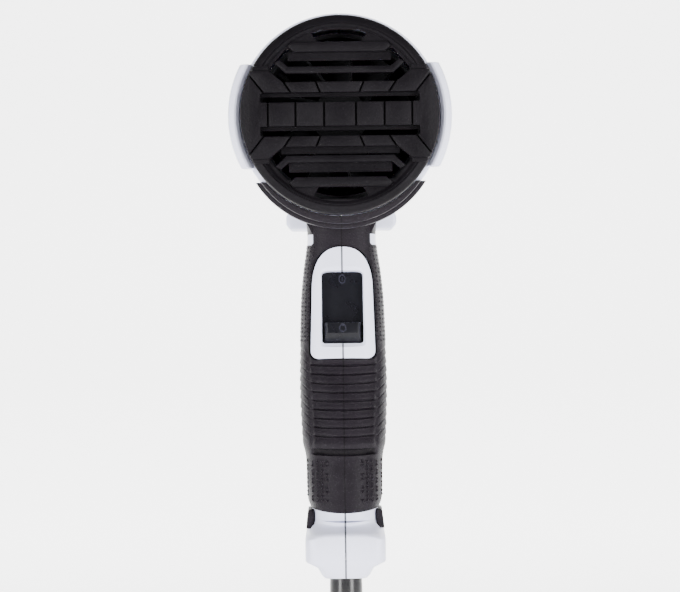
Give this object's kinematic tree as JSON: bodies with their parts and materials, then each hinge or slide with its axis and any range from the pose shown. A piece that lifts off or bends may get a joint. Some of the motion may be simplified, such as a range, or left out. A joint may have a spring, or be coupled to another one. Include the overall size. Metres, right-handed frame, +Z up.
{
  "type": "heat gun",
  "caption": "Pistol-grip heat gun with slatted rear air intake, two-shell housing, soft grip, slide switch, fan, motor, mica heating element, steel outlet tube, mains cord and plug.",
  "frame": {"origin": "middle of the hand grip, on the centre plane", "axes": "+Y along the barrel towards the outlet, +Z up with the handle hanging down, +X to the right as the user sees it from behind"},
  "size_m": [0.1397, 0.265, 0.3498],
  "materials": {
    "white_shell": "satin",
    "soft_grip": "matte",
    "charcoal_plastic": "fine grain",
    "nozzle_steel": "heat tinted at the mouth",
    "sheet_steel": "plain",
    "ivory_plastic": "moulded",
    "guide_plastic": "moulded",
    "black_plastic": "moulded",
    "ground_steel": "ground",
    "copper_winding": "varnished",
    "ferrite": "ground",
    "carbon": "pressed",
    "bronze": "sintered",
    "circuit_board": "masked",
    "mica": "flaky",
    "heating_wire": "oxidised",
    "ceramic": "fired",
    "brass_parts": "stamped",
    "switch_black": "satin",
    "wire_brown": "smooth",
    "wire_blue": "smooth",
    "screw_steel": "zinc plated",
    "capacitor_yellow": "boxed",
    "cord_rubber": "satin",
    "tie_plastic": "moulded",
    "plug_brass": "nickel plated"
  },
  "bodies": {
    "root": {"housing_left": "white_shell", "housing_right": "white_shell", "grip_left": "soft_grip", "grip_right": "soft_grip", "heel_pads": "soft_grip", "rear_cap": "charcoal_plastic", "front_collar": "charcoal_plastic", "nozzle_tube": "nozzle_steel", "air_duct": "sheet_steel", "fan_shroud": "guide_plastic", "motor_can": "sheet_steel", "motor_endcap": "black_plastic", "motor_magnets": "ferrite", "motor_brushes": "carbon", "bearing_rear": "bronze", "bearing_front": "bronze", "motor_board": "circuit_board", "rectifier_diodes": "black_plastic", "mica_cross": "mica", "heating_coil_low": "heating_wire", "heating_coil_high": "heating_wire", "mica_tube": "mica", "element_base": "ceramic", "element_terminals": "brass_parts", "thermal_cutout": "sheet_steel", "switch_body": "black_plastic", "switch_terminals": "brass_parts", "lead_live": "wire_brown", "lead_neutral": "wire_blue", "terminal_block": "ivory_plastic", "terminal_screws": "screw_steel", "suppressor_capacitor": "capacitor_yellow", "cord_clamp": "black_plastic", "clamp_screws": "screw_steel", "housing_screws": "screw_steel", "motor_screws": "screw_steel", "cord_core": "cord_rubber", "cord_sleeve": "cord_rubber", "cord": "cord_rubber", "cord_coil": "cord_rubber", "cord_tail": "cord_rubber", "coil_tie": "tie_plastic", "plug_body": "black_plastic", "plug_pins": "plug_brass"},
    "switch": {"switch_slider": "switch_black", "switch_actuator": "ivory_plastic"},
    "rotor": {"fan_impeller": "guide_plastic", "motor_shaft": "ground_steel", "motor_rotor": "copper_winding", "commutator": "copper_winding"}
  },
  "joints": [
    {"name": "switch_slide", "type": "slide", "parent": "root", "child": "switch", "axis": [0, 0.1598, 0.9871], "range_m": [0, 0.01]},
    {"name": "fan_spin", "type": "hinge", "parent": "root", "child": "rotor", "pos_m": [0, 0.013, 0.1074], "axis": [0, 1, 0], "continuous": true}
  ]
}
